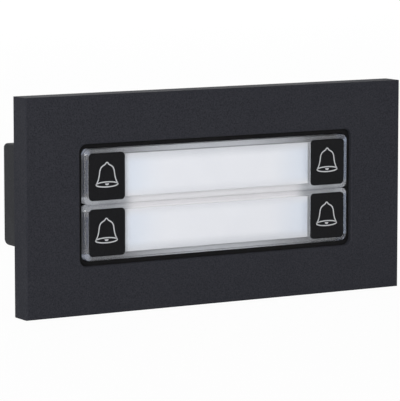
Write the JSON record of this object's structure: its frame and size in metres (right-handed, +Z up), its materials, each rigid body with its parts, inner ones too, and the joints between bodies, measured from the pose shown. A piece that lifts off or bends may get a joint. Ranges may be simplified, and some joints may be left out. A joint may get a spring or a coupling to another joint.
{
  "type": "intercom keypad module",
  "caption": "Flush intercom call module: dark cast front plate, clear rocker keys with bell ends and name cards in a window, deep rear box with bus sockets.",
  "frame": {"origin": "centre of the panel-screw pattern, on the plane of the front plate's back rim", "axes": "+X along the plate to the right seen from the front, +Y into the wall, +Z up"},
  "size_m": [0.1212, 0.035, 0.0604],
  "materials": {
    "plate_coat": "satin",
    "seal_rubber": "matte",
    "black_plastic": "matte",
    "silicone": "matte",
    "carbon_rubber": "matte",
    "board_laminate": "satin",
    "screw_steel": "satin",
    "led_resin": "gloss",
    "header_plastic": "satin",
    "block_resin": "satin",
    "pin_brass": "gloss",
    "box_plastic": "satin",
    "clear_plastic": "gloss",
    "card_paper": "matte",
    "white_plastic": "satin",
    "panel_black": "gloss"
  },
  "bodies": {
    "module": {"front_plate": "plate_coat", "window_gasket": "seal_rubber", "key_frame": "black_plastic", "key_mat": "silicone", "contact_pills": "carbon_rubber", "key_board": "board_laminate", "key_board_screws": "screw_steel", "backlight_leds": "led_resin", "bus_board": "board_laminate", "link_strip": "header_plastic", "link_socket": "header_plastic", "controller_chip": "header_plastic", "supply_capacitors": "block_resin", "rear_box": "box_plastic", "rear_box_screws": "screw_steel", "bus_header_left": "header_plastic", "bus_pins_left": "pin_brass", "bus_header_right": "header_plastic", "bus_pins_right": "pin_brass"},
    "upper_key": {"upper_lens": "clear_plastic", "upper_name_card": "card_paper", "upper_key_base": "white_plastic", "upper_bell_panel_left": "panel_black", "upper_bell_panel_right": "panel_black"},
    "lower_key": {"lower_lens": "clear_plastic", "lower_name_card": "card_paper", "lower_key_base": "white_plastic", "lower_bell_panel_left": "panel_black", "lower_bell_panel_right": "panel_black"}
  },
  "joints": [
    {"name": "upper_key_rock", "type": "hinge", "parent": "module", "child": "upper_key", "pos_m": [0, -0.0022, 0.00769], "axis": [0, 0, 1], "range_deg": [-1.3, 1.3], "stiffness_Nm_per_rad": 2, "deforming": ["key_mat"]},
    {"name": "lower_key_rock", "type": "hinge", "parent": "module", "child": "lower_key", "pos_m": [0, -0.0022, -0.00769], "axis": [0, 0, 1], "range_deg": [-1.3, 1.3], "stiffness_Nm_per_rad": 2, "deforming": ["key_mat"]}
  ]
}
